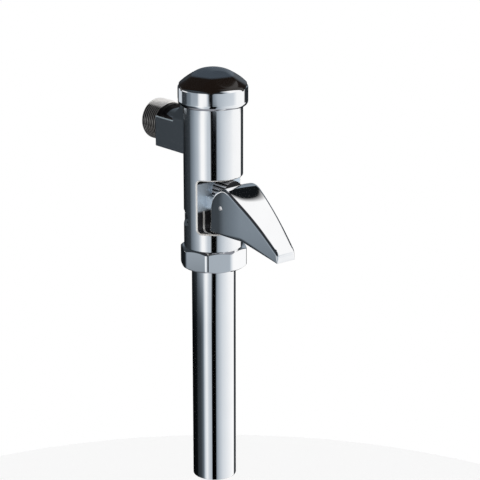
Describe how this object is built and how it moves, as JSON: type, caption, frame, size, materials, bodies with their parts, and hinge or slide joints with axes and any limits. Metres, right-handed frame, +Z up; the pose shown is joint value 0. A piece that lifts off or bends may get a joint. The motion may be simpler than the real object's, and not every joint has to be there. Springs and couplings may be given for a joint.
{
  "type": "toilet flush valve",
  "caption": "Wall-mounted toilet flush valve: chromed upright body with side inlet, faceted dark cap, press lever, union nut and flush pipe.",
  "frame": {"origin": "centre of the inlet's end face", "axes": "+Y along the inlet's axis into the wall, +Z up the valve, the lever points along -Y"},
  "size_m": [0.0438, 0.1266, 0.271],
  "materials": {
    "chrome": "polished chrome plate",
    "black_plastic": "glossy black",
    "steel": "bright stainless steel",
    "brass": "machined brass",
    "rubber": "black rubber",
    "white_plastic": "moulded white plastic"
  },
  "bodies": {
    "valve": {"valve_body": "chrome", "cap_ring": "chrome", "union_nut": "chrome", "flush_pipe": "chrome", "gland_nut": "chrome", "cap_cover": "black_plastic", "pivot_pin": "steel", "bonnet": "brass", "seat_ring": "brass", "rod_bush": "brass", "slip_ring": "brass", "rod_spring": "steel", "bonnet_o_ring": "rubber", "rod_o_ring": "rubber", "pipe_gasket": "rubber", "air_break_sleeve": "rubber", "air_break_cage": "white_plastic", "inlet_strainer": "white_plastic"},
    "lever": {"lever": "chrome"},
    "pull_rod": {"pull_rod": "steel"},
    "relief_valve": {"relief_stem": "brass", "relief_seal": "rubber"},
    "piston": {"piston": "brass", "piston_cup": "rubber", "piston_cap_nut": "brass", "seat_washer": "rubber", "washer_retainer": "brass", "bypass_nozzle": "brass", "relief_spring": "steel"}
  },
  "joints": [
    {"name": "lever_press", "type": "hinge", "parent": "valve", "child": "lever", "pos_m": [0, -0.0797, -0.041], "axis": [1, 0, 0], "range_deg": [0, 16], "stiffness_Nm_per_rad": 0.6, "springref_deg": -34.38},
    {"name": "rod_pull", "type": "slide", "parent": "valve", "child": "pull_rod", "axis": [0, -1, 0], "range_m": [0, 0.00196], "deforming": ["rod_spring"]},
    {"name": "piston_lift", "type": "slide", "parent": "valve", "child": "piston", "axis": [0, 0, 1], "range_m": [0, 0.004]},
    {"name": "relief_tilt", "type": "hinge", "parent": "piston", "child": "relief_valve", "pos_m": [0, -0.0528, -0.004], "axis": [-1, 0, 0], "range_deg": [0, 3.67]}
  ],
  "couplings": [
    {"joint": "rod_pull", "follows": "lever_press", "m_per_rad": 0.00701},
    {"joint": "relief_tilt", "follows": "lever_press", "ratio": 0.229}
  ]
}
